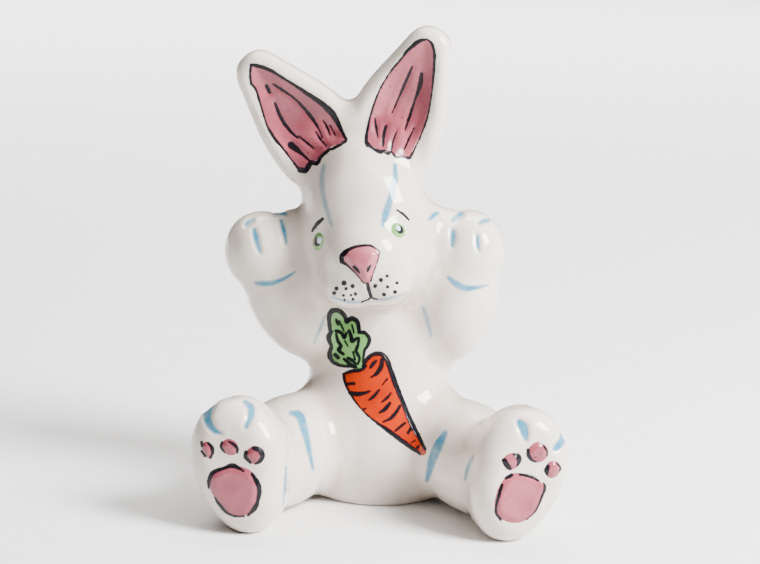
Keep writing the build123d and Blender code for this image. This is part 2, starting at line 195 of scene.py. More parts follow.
LINING_FOLDS = (
    ((273, 84, 1), (281, 89, 2.4), (294, 98, 1.6), (303, 107, 2.6), (312, 118, 3), (318, 128, 1.6),
     (323, 138, 0.8)),
    ((266.5, 86, 3.4), (269.5, 92, 3)),
    ((275, 103, 1.6), (278, 111, 2.6), (284, 123, 3), (292, 133, 2.6), (298, 138, 1)),
    ((291, 145, 6.6), (296, 149, 5), (303, 155, 2.4), (310, 161, 1)),
    ((299, 136, 1), (306, 142, 1.8), (314, 148.5, 0.8)),
    ((316, 132, 1), (321, 140, 1.6), (326.5, 146, 0.8)),
    ((323, 120, 0.8), (327, 127, 1.6), (330, 135, 0.8)),
    ((330, 125, 0.7), (335, 135, 1)),
    ((412, 67, 1.6), (406, 81, 2.4), (399, 97, 1.6), (392, 113, 0.7)),
    ((421.5, 74, 3), (420, 85, 4.2), (415, 100, 1.8), (410, 115, 2.4), (405, 130, 0.7)),
    ((375, 118, 0.8), (376, 127, 2), (378, 138, 0.7)),
    ((386, 126, 2.4), (384, 134, 2.8), (383, 146, 1.6)),
    ((397, 130, 0.7), (393, 142, 1.6), (391, 151, 1.2)),
    ((414, 128, 0.7), (408, 141, 1.6), (404, 150, 0.7)),
)

# Nose: its outline and the ink round it
NOSE_OUTLINE = (
    (341, 257), (344, 251), (351, 247), (362, 245), (372, 246), (379, 251), (380, 255), (376, 266),
    (372.5, 277), (370, 283), (365, 283), (356, 274), (347, 265),
)
NOSE_INK = (
    ((342, 262, 4), (342, 256, 4.6), (348, 250, 3.4), (356, 246.5, 2.4), (366, 245.3, 2.2),
     (373, 246.6, 1.6), (379.5, 252, 1)),
    ((342, 262, 3.6), (348, 266, 2), (356, 274, 1.2), (363, 282, 1), (366, 283.5, 1)),
    ((379.5, 252, 0.8), (378, 260, 0.6), (373, 274, 0.6), (371, 281, 1.4)),
    ((354, 267, 2.8), (357, 270, 2.6), (359.5, 273, 1.2)),
    ((370.5, 265.5, 1.4), (368.5, 268.5, 2.4), (367.5, 271.5, 1)),
)

# Eyes: centre, half width, half height and lean of each, and the spots on it
LEFT_EYE = (398.3, 230.3, 6.5, 8.4, radians(39))
RIGHT_EYE = (318.1, 241.6, 5.6, 9.3, radians(-9))
LEFT_PUPIL = ((399.4, 228.9, 7.4), (400.8, 230.8, 6.4))
RIGHT_PUPIL = ((317.1, 240.4, 6.6), (316.9, 243.6, 6.2))
LEFT_GLINT = ((397.9, 227.6, 4.2), (398.6, 229.0, 3.6))
RIGHT_GLINT = ((319.7, 239.2, 5.2), (319.4, 241.4, 4.6))

# Pads: outlines and the ink round them
RIGHT_SOLE = (
    (209, 481), (211, 473), (222, 467), (232, 464.5), (245, 467.5), (254, 473), (259.5, 483), (260, 493),
    (257, 504), (250, 513), (243, 516.5), (232, 516), (223, 510), (215, 499), (210, 490),
)
RIGHT_TOES = (
    ((201.5, 446), (205, 441.5), (210, 442.5), (213.5, 449), (213, 456), (209.5, 459), (204.5, 455)),
    ((220.5, 446), (224, 440), (230, 438.5), (236, 442), (238.5, 448), (236, 454), (230, 455.5),
     (224, 452.5)),
    ((244.5, 455), (249, 448), (256, 445.5), (262, 449.5), (264, 456), (260, 463), (254, 464.5),
     (248, 461)),
)
LEFT_SOLE = (
    (494, 502), (498, 488), (505, 477), (514, 472.5), (526, 473.5), (538, 479), (545, 488), (542, 499),
    (536, 511), (527, 520), (516, 523.5), (504, 521), (496, 514),
)
LEFT_TOES = (
    ((502.5, 461), (506, 455), (513, 452.5), (519, 455), (521, 460.5), (518, 467), (511.5, 470),
     (505, 467)),
    ((527, 453), (530, 446), (537, 441.5), (544, 444), (548, 450), (546.5, 458), (540, 462.5),
     (532, 460)),
    ((544.5, 470), (547, 463.5), (553, 460.5), (559, 463), (561, 469), (557.5, 476), (551, 478.5),
     (546, 475.5)),
)
PAD_INK = (
    ((208.5, 488, 1.6), (209, 480, 3.4), (213, 472.5, 3.8), (224, 468, 3.2), (232, 465.5, 4.6),
     (238, 467.5, 3), (244, 471.5, 1.2)),
    ((252, 474, 2.6), (257, 482, 4.6), (259.5, 490, 4.4), (258, 500, 3.2), (255, 508, 4.4),
     (248, 515.5, 2)),
    ((214.5, 497, 1.2), (219, 504, 2.8), (226, 512, 2.2), (234, 516, 1.8), (244, 516.5, 1.2)),
    ((201.5, 442, 2.4), (202, 446, 2.6)),
    ((201.5, 451, 1.8), (205, 456, 2.4)),
    ((208, 443, 1.8), (212, 447.5, 3.2), (212.5, 453, 2.8), (210.5, 458, 1.8)),
    ((222, 442, 2), (221, 447, 2.4), (225, 453, 1.2)),
    ((228.5, 441.5, 1.2), (234, 444.5, 3.2), (237.5, 449, 2.4), (237, 453, 1.6)),
    ((246, 452, 3.2), (245.5, 457, 3.6), (250, 462.5, 2.6)),
    ((254, 448, 3.6), (260, 450.5, 5.4), (262.5, 456, 4.6), (260, 461, 3.6), (255.5, 464, 1.6)),
    ((506, 478, 3), (511.5, 475, 3.2)),
    ((520, 474.5, 2), (530, 476, 2.8), (538.5, 480.5, 1.8)),
    ((543.5, 483, 1.4), (545, 488, 2.6), (541.5, 498, 1.8), (535.5, 511, 1.2), (527, 519.5, 0.9)),
    ((502, 485, 2.4), (499, 495, 2.8), (496.5, 505, 2), (496, 513, 2.4), (500.5, 519.5, 2.4)),
    ((504, 460.5, 4.8), (507.5, 466, 5.2), (510.5, 469, 2.6)),
    ((514.5, 454.5, 2.8), (518.5, 457, 5.4), (519, 462, 3.6), (517.5, 465.5, 1.4)),
    ((528, 450, 2.8), (528.5, 456, 3.4), (533, 461, 2), (537, 462, 1)),
    ((543.5, 446, 1.2), (547, 450.5, 1.6), (547, 456, 1)),
    ((548, 466, 3.2), (546.5, 470.5, 4.6), (547, 474.5, 2.2)),
    ((557.5, 463.5, 1.2), (560.5, 468, 2), (559.5, 471, 1.2)),
)

# Carrot: outlines, and the ink on and round it
ROOT_OUTLINE = (
    (342, 377), (346, 371), (357, 368.5), (364, 364), (370, 356), (377, 353), (384.5, 355.5), (390, 367),
    (397, 388), (405, 409), (414, 430), (422, 443), (426.5, 451), (425, 455), (420, 455), (408, 447),
    (393, 436), (376, 423), (360, 409), (347, 391),
)
LEAF_OUTLINE = (
    (328.5, 312), (333, 309.5), (340, 311), (346, 318), (351, 317.5), (357, 320), (359.5, 331), (366, 332.5),
    (370, 338), (368, 346), (364.5, 353), (363.5, 369), (356, 369.5), (343, 366), (333, 363.5),
    (329.5, 356.5), (331, 347), (328, 340), (330, 331.5), (328.5, 321),
)
LEAF_INK = (
    ((330, 330, 3.6), (329, 318, 4.2), (331, 311.5, 4.8), (338, 310.5, 4.6), (344, 315, 4.2),
     (347, 322, 3.6)),
    ((348, 320.5, 4.4), (352, 318.5, 4.6), (357, 321, 4.2), (359, 329, 3.4), (359.5, 332, 3)),
    ((359, 332, 3.4), (365, 333, 3.6), (369.5, 339, 3.4), (367.5, 346, 3), (364.5, 351, 2.6),
     (363, 362, 1.8)),
    ((331, 332, 4.4), (328.5, 338, 4.6), (331, 345, 3.6)),
    ((331, 348, 4), (329.5, 355, 4.6), (333, 362, 3.6), (341, 365.5, 3), (350, 366.5, 2.2),
     (356, 367, 3)),
    ((336, 319, 1.6), (338, 325, 1.8)),
    ((339, 321, 1.4), (344, 331, 1.6)),
    ((352, 325, 1.2), (354, 333, 1.4)),
    ((336, 331, 3.2), (341, 332.5, 3), (344.5, 337.5, 3.2), (346, 333, 2.2)),
    ((349, 331, 3), (351, 336, 3.2), (352, 341.5, 3.2), (357, 338, 2.2)),
    ((336, 334, 2.4), (338, 341, 3), (341, 346, 3.2), (338.5, 350, 3.4), (343, 354, 3)),
    ((345, 341, 1.4), (347.5, 346, 1.4)),
    ((359, 338, 2.2), (358, 345, 2.6), (356, 351, 2.8), (359.5, 358, 2.6), (358, 364, 1.6)),
    ((335, 354.5, 3.6), (338, 357.5, 3.4)),
    ((344, 359, 2.6), (350, 364, 2.8), (355, 366.5, 2.4)),
    ((348.5, 358, 2.8), (353, 361, 2.8), (356, 364, 1.8)),
    ((353, 352, 1.6), (355, 359, 1.8)),
)
ROOT_INK = (
    ((346, 373, 3), (353, 371, 3.6), (362, 369.5, 3), (366, 366, 1.8)),
    ((363, 366, 2.6), (367, 359, 3.8), (374, 354, 3.8), (382, 354.5, 4.4), (387, 360, 4.6), (391, 371, 4.8),
     (396, 385, 5), (402, 400, 4.2), (408, 415, 4.8), (414, 428, 4.8), (421, 441, 3.6), (425, 449, 2.8)),
    ((343.5, 374, 2.6), (345, 382, 2.2), (350, 393, 2), (357, 404, 1.4), (366, 414, 1.4), (377, 423, 2.4),
     (390, 432, 4.2), (402, 441, 4.4), (413, 449, 3.6), (420, 454, 2)),
    ((370, 368, 1.4), (373, 364, 3.4), (376, 361, 2.2)),
    ((382, 360, 3.6), (381, 367, 4.4), (377, 373, 3.2), (371, 377.5, 1.2)),
    ((348, 384, 2.8), (354, 383.5, 2.6)),
    ((350, 393, 3.8), (358, 394, 4.2), (366, 392.5, 2.6), (370, 391, 1)),
    ((369, 400, 1.2), (374, 396, 3), (379, 390, 1.6)),
    ((382, 385, 0.8), (387, 379, 1.6)),
    ((382, 402, 1), (387, 398, 2.4), (391, 393, 1.2)),
    ((379, 413, 1), (385, 409, 3.6), (390, 403, 2.4)),
    ((383, 422, 1.2), (391, 418, 3), (397, 411, 3.2), (400, 406, 2)),
    ((395, 431, 1.4), (400, 427, 2.4), (405, 423, 1.8)),
    ((364, 409, 2.2), (366, 408.5, 1.4)),
    ((408, 433, 2.4), (411, 428, 2.8)),
    ((411, 443, 0.8), (415, 440.5, 1.2)),
    ((417, 448, 2), (418.5, 446, 1.8)),
)

# What the strokes do
INK_STROKES = (
    (LEFT_BROW, RIGHT_BROW) + MOUTH + LINING_RIM_INK + LINING_FOLDS + NOSE_INK + PAD_INK + LEAF_INK + ROOT_INK
)
WASHES = (  # strokes and their strength
    ((RIGHT_FACE_WASH,), 0.6),
    ((LEFT_FACE_WASH,) + FINGER_WASH + WRIST_WASH + TOE_WASH + LEG_WASH, 1.0),
    (CHEST_WASH, 0.7),
    (SMILE_WASH, 0.75),
)
GROOVES = (  # strokes, depth and spread
    (FINGER_WASH + TOE_WASH, GROOVE_DEPTH, GROOVE_SPREAD),
    (MOUTH, MOUTH_DEPTH, MOUTH_SPREAD),
    (LINING_FOLDS, FOLD_DEPTH, FOLD_SPREAD),
)

# Reliefs: heights in metres, and edges in pixels from an outline to the full height
RELIEF_SPACING = 1.0  # pixels between the points of a relief
RELIEF_SINK = 0.00001  # how far a relief's rim is below the skin
RELIEF_ROOT = 0.0004  # how far a relief is let into the skin
ROW_SHARE = 0.87  # the distance between a relief's rows, as a share of the spacing
RIM_SHARE = 0.6  # a point closer to the outline than this share of the spacing is left out
SAME_SPOT = 1e-5  # pixels
EYE_POINTS = 16
LINING_HEIGHT = 0.00006
LINING_EDGE = 1.6
NOSE_HEIGHT = 0.0011
NOSE_EDGE = 9.0
EYE_HEIGHT = 0.0009
LEFT_EYE_EDGE = 6.0
RIGHT_EYE_EDGE = 5.4
PAD_HEIGHT = 0.0006
SOLE_EDGE = 8.0
TOE_EDGE = 6.0
CARROT_HEIGHT = 0.00006
CARROT_EDGE = 1.8

# Colours, linear
WHITE_LIGHT = (0.70, 0.630, 0.565, 1.0)
WHITE_DEEP = (0.63, 0.555, 0.485, 1.0)
PINK_LIGHT = (0.345, 0.083, 0.108, 1.0)
PINK_DEEP = (0.245, 0.052, 0.073, 1.0)
# The nose's pink is lighter than the pads': painted light against the shade that falls on the nose
NOSE_LIGHT = (0.43, 0.125, 0.155, 1.0)
NOSE_DEEP = (0.35, 0.090, 0.118, 1.0)
ORANGE_LIGHT = (0.42, 0.026, 0.0004, 1.0)
ORANGE_DEEP = (0.34, 0.018, 0.0004, 1.0)
LEAF_LIGHT = (0.16, 0.35, 0.110, 1.0)
LEAF_DEEP = (0.11, 0.26, 0.075, 1.0)
IRIS_LIGHT = (0.20, 0.42, 0.125, 1.0)
IRIS_DEEP = (0.14, 0.32, 0.085, 1.0)
INK = (0.006, 0.006, 0.009, 1.0)
WASH = (0.008, 0.185, 0.315, 1.0)
# A warm, darker tint in the crevices and joints: partly glaze that gathers there, partly painted shade
POOLED_SHADE_TINT = (0.40, 0.30, 0.22, 1.0)
SPECK = (0.09, 0.025, 0.03, 1.0)
GLINT = (0.62, 0.65, 0.70, 1.0)
FLOOR_LIGHT = (0.84, 0.84, 0.84, 1.0)
FLOOR_DEEP = (0.81, 0.81, 0.81, 1.0)
ROOM_TINT = (1.0, 0.92, 0.86, 1.0)

# Glaze: noise scales are per metre, and a range is where an effect begins and is full
CLOUD_SCALE = 90.0
CLOUD_DETAIL = 3.0
CLOUD_RANGE = (0.35, 0.65)
SPECK_SCALE = 420.0
SPECK_RANGE = (0.09, 0.17)  # a speck's dark middle and its edge, as shares of the specks' spacing
CLUSTER_SCALE = 210.0
CLUSTER_RANGE = (0.50, 0.58)
NO_SPECKS = 0.0
FEW_SPECKS = 0.10
SOME_SPECKS = 0.3
MANY_SPECKS = 0.85
# how strongly the crevices take the painted shade's warm, darker tint
POOL_SHADE_STRENGTH = 0.40
WATER_SCALE = 260.0
WATER_RANGE = (0.25, 0.75)
WATER_THIN = 0.8  # the blue's strength where it is thinnest
STREAK_SCALE = 700.0
STREAK_DETAIL = 3.0
STREAK_RANGE = (0.3, 0.7)
STREAK_SHIFT = 0.30  # pixels that the streaks move the ink's edge
INK_EDGE = 0.45  # pixels on each side of the ink's edge where it fades
THIN_SCALE = 330.0
THIN_RANGE = (0.3, 0.62)
THINNEST = 0.985  # the ink's cover where it is thinnest
INK_COAT = 0.35  # how much of the clear coat lies over the ink
GLINT_EDGE = 0.5  # pixels on each side of a glint's edge where it fades
MATT_RANGE = (0.3, 0.7)
MATTNESS = (0.22, 0.32)  # the roughness under the coat
BUMP_SCALE = 55.0
BUMP_DETAIL = 1.0
BUMP_STRENGTH = 0.25
BUMP_HEIGHT = 0.0003
COAT_IOR = 1.38
GROUND_SPECULAR = 0.08
GLOSSY = 0.04  # the coat's roughness
SATIN = 0.2
MIX_INPUTS = (0, 6, 7)  # a colour mix's share and its two colours
MIX_OUTPUT = 2

# Studio: watts and metres
FLOOR_REACH = 30.0
FLOOR_GRAIN = 3.0
FLOOR_ROUGHNESS = 0.8
KEY_ROUND = (radians(63.0), radians(35.0), 0.95)  # from the front, above the level, distance
KEY_SIZE = (0.36, 0.42)
KEY_POWER = 47.0
FAR_PLACE = (0.0, 2.4, 2.6)
FAR_SIZE = (5.0, 3.6)
FAR_POWER = 270.0
FAR_SPREAD = radians(80.0)
ROOM_DIM = 0.02  # on the picture's left
ROOM_BRIGHT = 0.20
ROOM_SIDES = (-0.9, 0.9)
ROOM_ABOVE = 9.0  # times as bright straight above
ROOM_HEIGHTS = (0.5, 1.0)  # where the light from above begins and is full, as a share of straight up


# Through the camera

LOOK = Vector((0, cos(CAMERA_ELEVATION), -sin(CAMERA_ELEVATION)))
LEVEL = Vector((1, 0, 0))
UPRIGHT = LEVEL.cross(LOOK)
RIGHTWARD = LEVEL * cos(PICTURE_TURN) + UPRIGHT * sin(PICTURE_TURN)
UPWARD = UPRIGHT * cos(PICTURE_TURN) - LEVEL * sin(PICTURE_TURN)
VIEWPOINT = CAMERA_TARGET - LOOK * CAMERA_DISTANCE
FOCAL = IMAGE_WIDTH * LENS / SENSOR


def add_camera():
    """The camera at the picture's view."""
    data = bpy.data.cameras.new("camera")
    data.lens = LENS
    data.sensor_width = SENSOR
    camera = bpy.data.objects.new("camera", data)
    turn = Matrix((RIGHTWARD, UPWARD, -LOOK)).transposed().to_4x4()
    camera.matrix_world = Matrix.Translation(VIEWPOINT) @ turn
    bpy.context.scene.collection.objects.link(camera)
    bpy.context.scene.camera = camera


def to_pixels(points):
    """Where points of the frame are in the picture."""
    rays = points - np.array(VIEWPOINT)
    depth = rays @ np.array(LOOK)
    across = IMAGE_WIDTH / 2 + FOCAL * (rays @ np.array(RIGHTWARD)) / depth
    down = IMAGE_HEIGHT / 2 - FOCAL * (rays @ np.array(UPWARD)) / depth
    return np.stack([across, down], 1)


def pixel_ray(pixel):
    """The direction from the camera through a pixel of the picture."""
    across = (pixel[0] - IMAGE_WIDTH / 2) / FOCAL
    up = (IMAGE_HEIGHT / 2 - pixel[1]) / FOCAL
    return (LOOK + RIGHTWARD * across + UPWARD * up).normalized()


def facing(normals, limit=0.0):
    """Which normals point to the camera's side."""
    return normals @ np.array(LOOK) < limit


# Meshes and arrays

def link(name, mesh):
    """An object of a mesh, in the scene."""
    piece = bpy.data.objects.new(name, mesh)
    bpy.context.scene.collection.objects.link(piece)
    return piece


def points_of(mesh):
    """A mesh's vertices as an array."""
    points = np.empty(len(mesh.vertices) * 3)
    mesh.vertices.foreach_get("co", points)
    return points.reshape(-1, 3)


def set_points(mesh, points):
    """Moves a mesh's vertices to the rows of an array."""
    mesh.vertices.foreach_set("co", points.ravel())
    mesh.update()


def normals_of(mesh):
    """The normal at each of a mesh's vertices."""
    normals = np.empty(len(mesh.vertices) * 3)
    mesh.vertex_normals.foreach_get("vector", normals)
    return normals.reshape(-1, 3)


def store(mesh, name, values):
    """Keeps one number for each vertex, for the materials to read."""
    layer = mesh.attributes.new(name, "FLOAT", "POINT")
    layer.data.foreach_set("value", np.asarray(values, np.float32))


def shade_smooth(mesh):
    """Shades all of a mesh's faces as one smooth surface."""
    mesh.polygons.foreach_set("use_smooth", np.ones(len(mesh.polygons), bool))


def neighbours_of(mesh):
    """A mesh's edges as pairs of vertices, and how many neighbours each vertex has."""
    pairs = np.empty(len(mesh.edges) * 2, np.int64)
    mesh.edges.foreach_get("vertices", pairs)
    count = np.maximum(np.bincount(pairs, minlength=len(mesh.vertices)), 1)
    return pairs.reshape(-1, 2), count


def neighbour_mean(values, neighbours):
    """For each vertex, the mean of the values at its neighbours."""
    pairs, count = neighbours
    total = np.zeros_like(values)
    for column in range(values.shape[1]):
        total[:, column] += np.bincount(pairs[:, 0], values[pairs[:, 1], column], len(values))
        total[:, column] += np.bincount(pairs[:, 1], values[pairs[:, 0], column], len(values))
    return total / count[:, None]


def smoothstep(low, high, values):
    """A soft step from 0 at low to 1 at high."""
    t = np.clip((values - low) / (high - low), 0, 1)
    return t * t * (3 - 2 * t)


# The skin

def plain_casting(node):
    """A casting's outer form: welded, without its hollow, and larger by the slip."""
    form = bmesh.new()
    form.from_mesh(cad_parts[node].data)
    bmesh.ops.remove_doubles(form, verts=form.verts, dist=WELD)
    if node in HOLLOW_CASTINGS:
        tree = BVHTree.FromBMesh(form)
        inside = []
        for face in form.faces:
            middle = face.calc_center_median()
            distance = tree.ray_cast(middle + face.normal * WELD, face.normal)[3]
            if distance is not None and distance > HOLLOW_SPAN and middle.z > FLOOR_LEVEL:
                inside.append(face)
        bmesh.ops.delete(form, geom=inside, context="FACES")
        keep_largest_island(form)
        bmesh.ops.holes_fill(form, edges=form.edges, sides=0)
    bmesh.ops.recalc_face_normals(form, faces=form.faces)
    form.normal_update()
    for vert in form.verts:
        vert.co += vert.normal * (SLIP + CLOSING)
    return form


def islands(items, neighbours):
    """The sets of items that are joined through their neighbours, one after another."""
    waiting = set(items)
    while waiting:
        front = [waiting.pop()]
        island = list(front)
        while front:
            for other in neighbours(front.pop()):
                if other in waiting:
                    waiting.remove(other)
                    island.append(other)
                    front.append(other)
        yield island


def keep_largest_island(form):
    """Deletes every stretch of faces but the one with the most vertices."""
    joined = islands(form.verts, lambda vert: [v for e in vert.link_edges for v in e.verts])
    largest = set(max(joined, key=len))
    bmesh.ops.delete(form, geom=[v for v in form.verts if v not in largest], context="VERTS")


def modified(mesh, kind, **settings):
    """A mesh after one modifier."""
    piece = link("work", mesh)
    modifier = piece.modifiers.new(kind, kind)
    for key, value in settings.items():
        setattr(modifier, key, value)
    shown = piece.evaluated_get(bpy.context.evaluated_depsgraph_get())
    result = bpy.data.meshes.new_from_object(shown)
    bpy.data.objects.remove(piece)
    return result


def joined_castings():
    """All the castings in one mesh."""
    joined = bmesh.new()
    part = bpy.data.meshes.new("part")
    for node in CASTINGS:
        form = plain_casting(node)
        form.to_mesh(part)
        form.free()
        joined.from_mesh(part)
    mesh = bpy.data.meshes.new("castings")
    joined.to_mesh(mesh)
    joined.free()
    return mesh


def close_crevices(mesh):
    """Shrinks the grown castings' one skin back to them."""
    points = points_of(mesh)
    neighbours = neighbours_of(mesh)
    normals = normals_of(mesh)
    for _ in range(NORMAL_STEPS):
        normals = normals + neighbour_mean(normals, neighbours)
        normals /= np.linalg.norm(normals, axis=1)[:, None]
    points = points - normals * CLOSING
    points[:, 2] = np.maximum(points[:, 2], 0)
    set_points(mesh, points)


def gather_glaze(mesh):
    """Fills the concave joints, as slip and glaze do, and smooths the whole skin."""
    points = points_of(mesh)
    neighbours = neighbours_of(mesh)
    bare = points.copy()
    round_drain = (np.hypot(points[:, 0], points[:, 1]) < DRAIN_KEEP) & (points[:, 2] < DRAIN_DEPTH)
    rate = np.where(round_drain, 0.0, FILL_RATE)
    for step in range(FILL_STEPS):
        if step % FILL_NORMALS == 0:
            set_points(mesh, points)
            normals = normals_of(mesh)
        pull = neighbour_mean(points, neighbours) - points
        outward = np.sum(pull * normals, 1)
        points = points + normals * (np.maximum(outward, 0) * rate)[:, None]
        points[:, 2] = np.maximum(points[:, 2], 0)
    gathered = np.linalg.norm(points - bare, axis=1)
    points = fill_pits(mesh, points, np.where(round_drain, 0.0, 1.0))
    for _ in range(SMOOTH_STEPS):
        for share in (SMOOTH_IN, SMOOTH_OUT):
            pull = neighbour_mean(points, neighbours) - points
            points = points + pull * share
    points[:, 2] = np.maximum(points[:, 2], 0)
    set_points(mesh, points)
    # how deep each point was filled decides where the crevices get painted shade, a warm, darker tint
    store(mesh, "pool_shade", smoothstep(0, POOL_SHADE_DEPTH, gathered))


def fill_pits(mesh, points, share):
    """The skin's points with the pits filled, where three castings meet, as far as a share allows."""
    neighbours = neighbours_of(mesh)
    level = points
    for _ in range(PIT_STEPS):
        level = level + (neighbour_mean(level, neighbours) - level) * PIT_RATE
    set_points(mesh, level)
    sunk = np.sum((level - points) * normals_of(mesh), 1)
    return points + (level - points) * (share * smoothstep(*PIT_DEPTH, sunk))[:, None]


def ease_ears(mesh):
    """Smooths the front of each ear's foot, where its lining runs down on to the forehead."""
    points = points_of(mesh)
    neighbours = neighbours_of(mesh)
    pixels = to_pixels(points)
    front = facing(normals_of(mesh))
    share = np.zeros(len(points))
    for x, y, radius in EASED_ZONES:
        share = np.maximum(share, smoothstep(radius, radius / 2, spot_gap(pixels, x, y)))
    share = np.where(front, share * EASED_RATE, 0)[:, None]
    for _ in range(EASED_STEPS):
        points = points + (neighbour_mean(points, neighbours) - points) * share
    set_points(mesh, points)


def press_grooves(mesh):
    """Presses shallow grooves between fingers and toes, along the mouth and along the linings' pleats."""
    points = points_of(mesh)
    normals = normals_of(mesh)
    pixels = to_pixels(points)
    depth = np.zeros(len(points))
    for strokes, deep, spread in GROOVES:
        for stroke in strokes:
            depth = np.maximum(depth, deep * smoothstep(-spread, GROOVE_FLOOR, inside_stroke(pixels, stroke)))
    front = facing(normals, GROOVE_FACING)
    set_points(mesh, points - normals * np.where(front, depth, 0)[:, None])


def hollow_linings(mesh):
    """Lowers the ear linings, so that the rims of the ears stand round them."""
    points = points_of(mesh)
    normals = normals_of(mesh)
    pixels = to_pixels(points)
    depth = np.zeros(len(points))
    for outline, (x, y, _) in zip((RIGHT_LINING, LEFT_LINING), EASED_ZONES):
        loop = rounded_loop(outline)
        gap = edge_gap(pixels, loop)
        inside = np.where(within(pixels, loop), gap, -gap)
        along = smoothstep(*LINING_FOOT, spot_gap(pixels, x, y))
        depth = np.maximum(depth, LINING_HOLLOW * smoothstep(*LINING_SLOPE, inside) * along)
    front = facing(normals)
    set_points(mesh, points - normals * np.where(front, depth, 0)[:, None])


# Brush strokes

def between(p0, p1, p2, p3, t):
    """The point a share of the way from p1 to p2, on a smooth curve past p0 and p3."""
    bend = 2 * p0 - 5 * p1 + 4 * p2 - p3
    return p1 + 0.5 * t * (p2 - p0 + t * (bend + t * (3 * (p1 - p2) + p3 - p0)))


def spot_gap(spots, x, y):
    """The distance from each spot to one place."""
    return np.hypot(spots[:, 0] - x, spots[:, 1] - y)


def line_gap(spots, start, end):
    """The distance from each spot to a straight line, and the share of the line that it is along."""
    along = end - start
    share = np.clip((spots - start) @ along / max(along @ along, TINY), 0, 1)
    return np.linalg.norm(spots - start - share[:, None] * along, axis=1), share


def brushed(stroke):
    """A stroke's points and widths on a smooth curve through the given ones."""
    knots = np.array(stroke, float)
    if len(knots) < 3:
        return knots
    before = np.vstack([2 * knots[0] - knots[1], knots])
    after = np.vstack([knots, 2 * knots[-1] - knots[-2]])
    rows = []
    for i in range(len(knots) - 1):
        span = before[i], knots[i], knots[i + 1], after[i + 2]
        rows += [between(*span, k / CURVE_STEPS) for k in range(CURVE_STEPS)]
    rows.append(knots[-1])
    return np.array(rows)


def inside_stroke(pixels, stroke):
    """How far inside a stroke each pixel is, in pixels, and negative outside it."""
    path = brushed(stroke)
    depth = np.full(len(pixels), -FAR)
    low = path[:, :2].min(0) - FAR
    high = path[:, :2].max(0) + FAR
    near = np.nonzero(np.all((pixels > low) & (pixels < high), 1))[0]
    if not len(near):
        return depth
    spots = pixels[near]
    best = np.full(len(near), -FAR)
    for start, end in zip(path[:-1], path[1:]):
        gap, share = line_gap(spots, start[:2], end[:2])
        best = np.maximum(best, (start[2] + share * (end[2] - start[2])) / 2 - gap)
    depth[near] = best
    return depth


def inside_dots(pixels, dots):
    """How far inside the nearest of some round dots each pixel is."""
    depth = np.full(len(pixels), -FAR)
    for x, y, width in dots:
        depth = np.maximum(depth, width / 2 - spot_gap(pixels, x, y))
    return depth


def ink_depth(pixels):
    """How far inside the ink each pixel is."""
    depth = inside_dots(pixels, WHISKER_DOTS) + DOT_SPREAD
    for stroke in INK_STROKES:
        depth = np.maximum(depth, inside_stroke(pixels, stroke))
    return np.maximum(depth + BRUSH_SPREAD, -FAR)


def wash_cover(pixels):
    """How thickly the watery blue covers each pixel, from 0 to 1."""
    cover = np.zeros(len(pixels))
    for strokes, strength in WASHES:
        for stroke in strokes:
            cover = np.maximum(cover, strength * smoothstep(*WASH_EDGE, inside_stroke(pixels, stroke)))
    return cover


def seen(points, normals, candidates, tree):
    """Which of the candidate points face the camera with nothing in front of them."""
    visible = np.zeros(len(points), bool)
    for i in np.nonzero(candidates)[0]:
        ray = Vector(points[i]) - VIEWPOINT
        if ray.dot(Vector(normals[i])) < 0:
            distance = tree.ray_cast(VIEWPOINT, ray.normalized())[3]
            visible[i] = distance is None or distance > ray.length - HIDDEN_BY
    return visible


def paint_skin(mesh):
    """Keeps the ink and the wash of the skin's vertices, and gives the tree that rays are cast on."""
    points = points_of(mesh)
    normals = normals_of(mesh)
    pixels = to_pixels(points)
    ink = ink_depth(pixels)
    wash = wash_cover(pixels)
    tree = BVHTree.FromPolygons(points.tolist(), [tuple(p.vertices) for p in mesh.polygons])
    visible = seen(points, normals, (ink > -FAR) | (wash > 0), tree)
    store(mesh, "ink", np.where(visible, ink, -FAR))
    store(mesh, "wash", np.where(visible, wash, 0))
    return tree


def refine_inked(mesh):
    """Divides the skin's faces again near its own ink, so that thin lines stay sharp."""
    pixels = to_pixels(points_of(mesh))
    chosen = (ink_depth(pixels) > -FINE_ZONE) & facing(normals_of(mesh))
    form = bmesh.new()
    form.from_mesh(mesh)
    form.verts.ensure_lookup_table()
    edges = [e for e in form.edges if chosen[e.verts[0].index] and chosen[e.verts[1].index]]
    bmesh.ops.subdivide_edges(form, edges=edges, cuts=1, use_grid_fill=True, smooth=FINE_ROUND)
    form.to_mesh(mesh)
    form.free()


def make_skin():
    """The one skin over all the castings, painted, with the tree that rays are cast on."""
    mesh = modified(joined_castings(), "REMESH", mode="VOXEL", voxel_size=VOXEL)
    close_crevices(mesh)
    gather_glaze(mesh)
    ease_ears(mesh)
    mesh = modified(mesh, "SUBSURF", levels=1, render_levels=1)
    hollow_linings(mesh)
    press_grooves(mesh)
    refine_inked(mesh)
    shade_smooth(mesh)
    tree = paint_skin(mesh)
    return mesh, tree


def nearest_casting(centres):
    """For each face's centre, the number of the casting that it belongs to."""
    distances = np.full((len(CASTINGS), len(centres)), np.inf)
    for number, node in enumerate(CASTINGS):
        form = bmesh.new()
        form.from_mesh(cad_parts[node].data)
        tree = BVHTree.FromBMesh(form)
        low, high = (np.array(corner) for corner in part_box(node))
        near = np.all((centres > low - NEAR_CASTING) & (centres < high + NEAR_CASTING), 1)
        for i in np.nonzero(near)[0]:
            distances[number, i] = tree.find_nearest(Vector(centres[i]))[3]
        form.free()
    return np.argmin(distances, 0)


